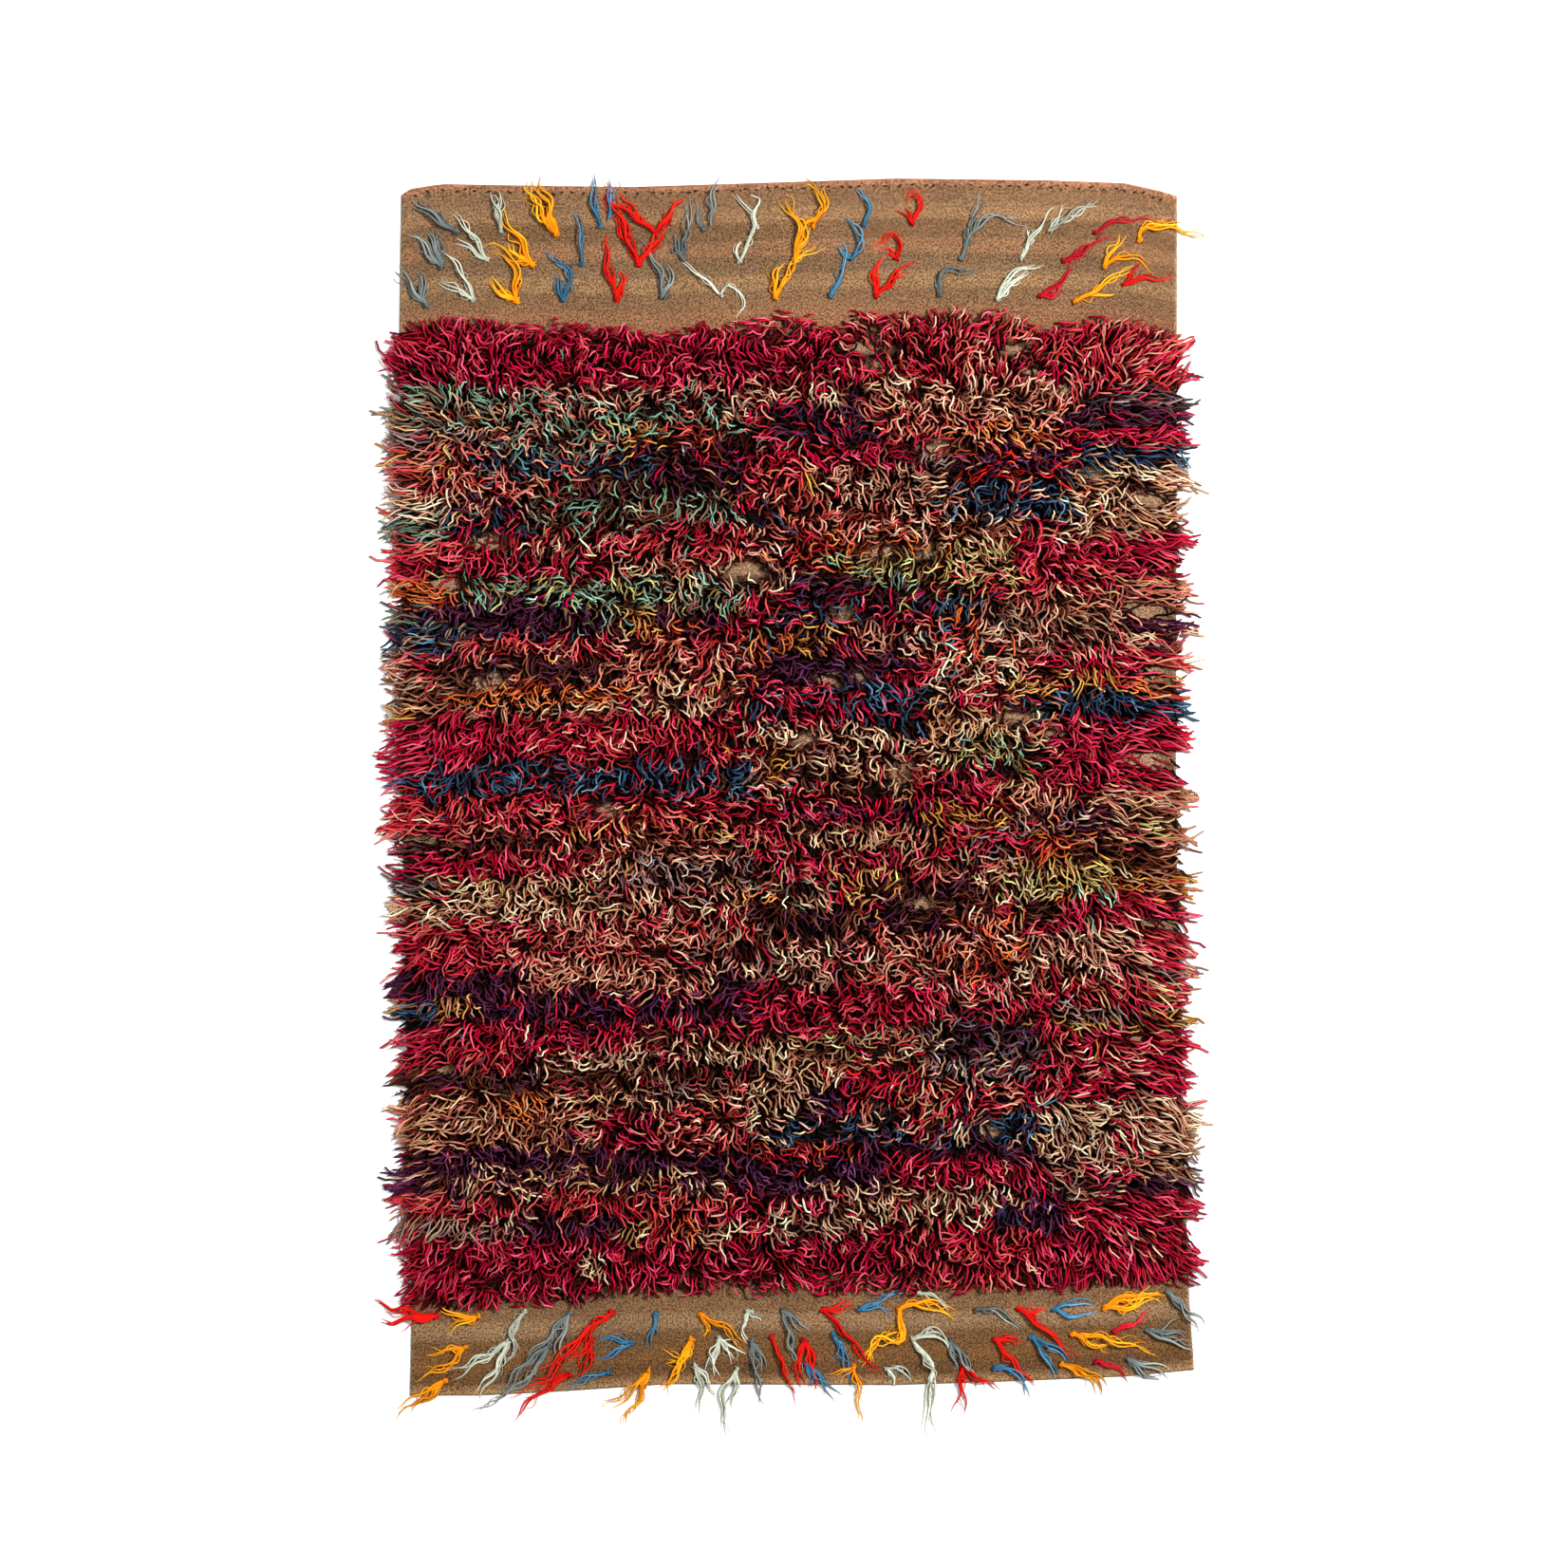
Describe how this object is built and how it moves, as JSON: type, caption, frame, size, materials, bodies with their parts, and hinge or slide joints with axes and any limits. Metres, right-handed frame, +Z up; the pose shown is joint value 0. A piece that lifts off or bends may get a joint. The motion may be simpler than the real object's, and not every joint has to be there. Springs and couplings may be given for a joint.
{
  "type": "kilim rug",
  "caption": "Hand-woven wool floor rug with a flat-woven ground, a striped shag field and rows of coloured wool tufts on its two plain ends; lies flat on a floor.",
  "frame": {"origin": "on the floor under the middle of the rug's bounding box", "axes": "+Y along the rug towards its hemmed end, +X to the right seen from above, +Z up from the floor through the pile"},
  "size_m": [1.3, 1.9702, 0.036],
  "materials": {
    "ground_weave": "matt flat-woven wool in taupe and camel bands",
    "pile_yarn": "matt crimped wool yarn in crimson, coral, camel, navy, olive and aubergine stripes",
    "tuft_wool": "soft unspun wool in grey, ivory, orange, blue and red"
  },
  "bodies": {
    "root": {"ground": "ground_weave", "pile": "pile_yarn", "tufts_top_1": "tuft_wool", "tufts_top_2": "tuft_wool", "tufts_top_3": "tuft_wool", "tufts_bottom_1": "tuft_wool", "tufts_bottom_2": "tuft_wool", "tufts_bottom_3": "tuft_wool"}
  },
  "joints": []
}
